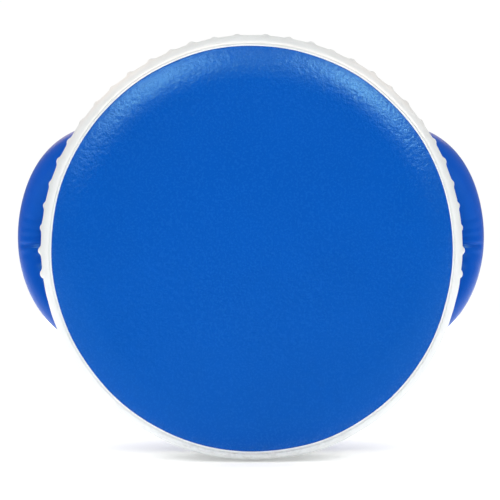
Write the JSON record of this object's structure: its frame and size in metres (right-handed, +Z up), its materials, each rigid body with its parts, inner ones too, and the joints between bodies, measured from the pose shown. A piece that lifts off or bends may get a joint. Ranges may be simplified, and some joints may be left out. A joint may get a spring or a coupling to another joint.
{
  "type": "round kick shield",
  "caption": "Round padded kick shield with a domed strike face, a sewn side gusset, two stuffed arm loops, hand grips and a zipped back cover.",
  "frame": {"origin": "on the floor under the middle of the shield's bounding box, which lies 126 mm behind the crown of the strike face, in the plane of the back cover's outer face; the shield stands on its rim", "axes": "+Z up; +Y back, from the strike face to the holder; +X to the right of someone who faces the strike face"},
  "size_m": [0.5714, 0.252, 0.494],
  "materials": {
    "blue_coated_fabric": "semi-gloss",
    "white_coated_fabric": "semi-gloss",
    "back_coated_fabric": "satin",
    "piping": "gloss",
    "rear_piping": "gloss",
    "soft_foam": "matt",
    "impact_foam": "matt",
    "core_foam": "matt",
    "board_foam": "matt",
    "zip_tape": "woven",
    "zip_teeth": "satin",
    "zip_metal": "satin",
    "tab_fabric": "satin",
    "panel_fabric": "satin",
    "anchor_fabric": "semi-gloss",
    "grip_patch": "satin",
    "roll_fabric": "gloss",
    "roll_foam": "matt",
    "inner_webbing": "woven",
    "grip_webbing": "woven",
    "grip_fabric": "satin",
    "grip_foam": "matt",
    "slider_metal": "satin",
    "pull_metal": "satin"
  },
  "bodies": {
    "shield": {"strike_cover": "blue_coated_fabric", "side_gusset": "white_coated_fabric", "back_cover": "back_coated_fabric", "front_piping": "piping", "rear_piping": "rear_piping", "strike_foam": "soft_foam", "impact_foam": "impact_foam", "core_foam": "core_foam", "back_board": "board_foam", "zip_tapes": "zip_tape", "zip_chain": "zip_teeth", "zip_stops": "zip_metal", "zip_end_tabs": "tab_fabric", "handle_panel": "panel_fabric", "arm_loop_anchors_left": "anchor_fabric", "grip_anchors_left": "grip_patch", "arm_loop_anchors_right": "anchor_fabric", "grip_anchors_right": "grip_patch"},
    "arm_loop_left": {"arm_loop_cover_left": "roll_fabric", "arm_loop_foam_left": "roll_foam", "arm_loop_strap_left": "inner_webbing"},
    "arm_loop_right": {"arm_loop_cover_right": "roll_fabric", "arm_loop_foam_right": "roll_foam", "arm_loop_strap_right": "inner_webbing"},
    "grip_left": {"grip_strap_left": "grip_webbing", "grip_cover_left": "grip_fabric", "grip_foam_left": "grip_foam"},
    "grip_right": {"grip_strap_right": "grip_webbing", "grip_cover_right": "grip_fabric", "grip_foam_right": "grip_foam"},
    "zip_slider": {"zip_slider_body": "slider_metal"},
    "zip_pull": {"zip_pull_tab": "pull_metal"}
  },
  "joints": [
    {"name": "arm_loop_left_swing", "type": "hinge", "parent": "shield", "child": "arm_loop_left", "pos_m": [-0.1585, 0.018, 0.255], "axis": [0, 0, -1], "range_deg": [-5, 55], "stiffness_Nm_per_rad": 0.8},
    {"name": "arm_loop_right_swing", "type": "hinge", "parent": "shield", "child": "arm_loop_right", "pos_m": [0.1585, 0.018, 0.255], "axis": [0, 0, 1], "range_deg": [-5, 55], "stiffness_Nm_per_rad": 0.8},
    {"name": "grip_left_swing", "type": "hinge", "parent": "shield", "child": "grip_left", "pos_m": [-0.07, 0.01, 0.255], "axis": [0, 0, -1], "range_deg": [-35, 35], "stiffness_Nm_per_rad": 0.15},
    {"name": "grip_right_swing", "type": "hinge", "parent": "shield", "child": "grip_right", "pos_m": [0.07, 0.01, 0.255], "axis": [0, 0, 1], "range_deg": [-35, 35], "stiffness_Nm_per_rad": 0.15},
    {"name": "zip_slide", "type": "hinge", "parent": "shield", "child": "zip_slider", "pos_m": [0, 0, 0.246], "axis": [0, 1, 0], "range_deg": [0, 83]},
    {"name": "zip_pull_swing", "type": "hinge", "parent": "zip_slider", "child": "zip_pull", "pos_m": [0.14975, 0.0055, 0.07674], "axis": [0.6626, 0, -0.749], "range_deg": [0, 150]}
  ]
}
